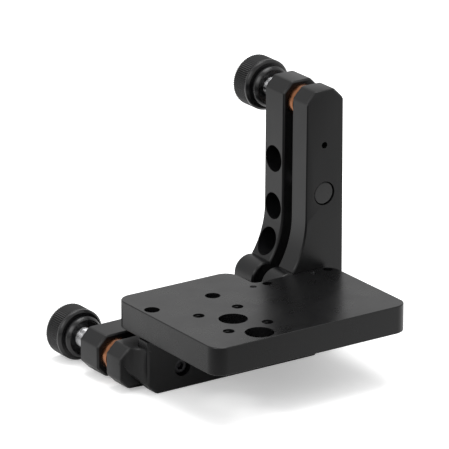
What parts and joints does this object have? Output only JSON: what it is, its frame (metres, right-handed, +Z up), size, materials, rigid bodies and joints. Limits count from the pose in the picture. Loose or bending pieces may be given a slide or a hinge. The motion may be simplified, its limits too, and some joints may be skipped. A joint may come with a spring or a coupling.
{
  "type": "kinematic mirror mount",
  "caption": "kinematic mount in satin black metal: L-shaped plates around a pivot ball, fine adjusters with knurled knobs, and a horizontal drilled platform on the moving plate",
  "frame": {"origin": "centre of the platform's centre hole, on the platform's top face", "axes": "+X right along the lying arms, away from its adjuster; +Y from the platform's front edge towards the knobs; +Z up along the upright arms"},
  "size_m": [0.0785, 0.0751, 0.0784],
  "materials": {
    "anodised_plate": "satin black anodised, milled",
    "anodised_platform": "satin black anodised, fine milled",
    "anodised_knob": "black anodised, knurled",
    "black_screw": "black oxide",
    "ground_steel": "ground steel",
    "ball_steel": "polished hardened steel",
    "seat_steel": "hardened ground steel",
    "bronze": "turned bronze",
    "thread_steel": "bright rolled thread",
    "spring_steel": "bright spring wire"
  },
  "bodies": {
    "back": {"back_plate": "anodised_plate", "upper_bushing": "bronze", "left_bushing": "bronze", "pivot_seat_rear": "seat_steel", "upper_spring": "spring_steel", "left_spring": "spring_steel", "rear_spring_pins": "ground_steel"},
    "pivot": {"pivot_ball": "ball_steel"},
    "front": {"front_plate": "anodised_plate", "platform": "anodised_platform", "platform_screws": "black_screw", "dowel_pins": "ground_steel", "block_screw": "black_screw", "pivot_seat_front": "seat_steel", "groove_seat": "seat_steel", "flat_seat": "seat_steel", "upper_spring_pin": "ground_steel", "left_spring_pin": "ground_steel", "spring_plug": "anodised_knob"},
    "upper_tip": {"upper_tip_ball": "ball_steel"},
    "upper_adjuster": {"upper_screw": "thread_steel", "upper_knob": "anodised_knob", "upper_set_screw": "black_screw"},
    "left_tip": {"left_tip_ball": "ball_steel"},
    "left_adjuster": {"left_screw": "thread_steel", "left_knob": "anodised_knob", "left_set_screw": "black_screw"}
  },
  "joints": [
    {"name": "pitch", "type": "hinge", "parent": "back", "child": "pivot", "pos_m": [0.0452, 0.0298, -0.01655], "axis": [1, 0, 0], "range_deg": [-1.15, 3.91]},
    {"name": "yaw", "type": "hinge", "parent": "pivot", "child": "front", "pos_m": [0.0452, 0.0298, -0.01655], "axis": [0, 0, 1], "range_deg": [-1.15, 3.91]},
    {"name": "upper_advance", "type": "slide", "parent": "back", "child": "upper_tip", "axis": [0, -1, 0], "range_m": [-0.00128, 0.00434]},
    {"name": "upper_turn", "type": "hinge", "parent": "upper_tip", "child": "upper_adjuster", "pos_m": [0.0452, 0.0505, 0.04695], "axis": [0, -1, 0], "range_deg": [-1445, 4900]},
    {"name": "left_advance", "type": "slide", "parent": "back", "child": "left_tip", "axis": [0, -1, 0], "range_m": [-0.00128, 0.00434]},
    {"name": "left_turn", "type": "hinge", "parent": "left_tip", "child": "left_adjuster", "pos_m": [-0.0183, 0.0505, -0.01655], "axis": [0, -1, 0], "range_deg": [-1445, 4900]}
  ],
  "couplings": [
    {"joint": "upper_advance", "follows": "upper_turn", "m_per_rad": 0.000050532},
    {"joint": "pitch", "follows": "upper_turn", "ratio": 0.00079577},
    {"joint": "left_advance", "follows": "left_turn", "m_per_rad": 0.000050532},
    {"joint": "yaw", "follows": "left_turn", "ratio": 0.00079577}
  ]
}
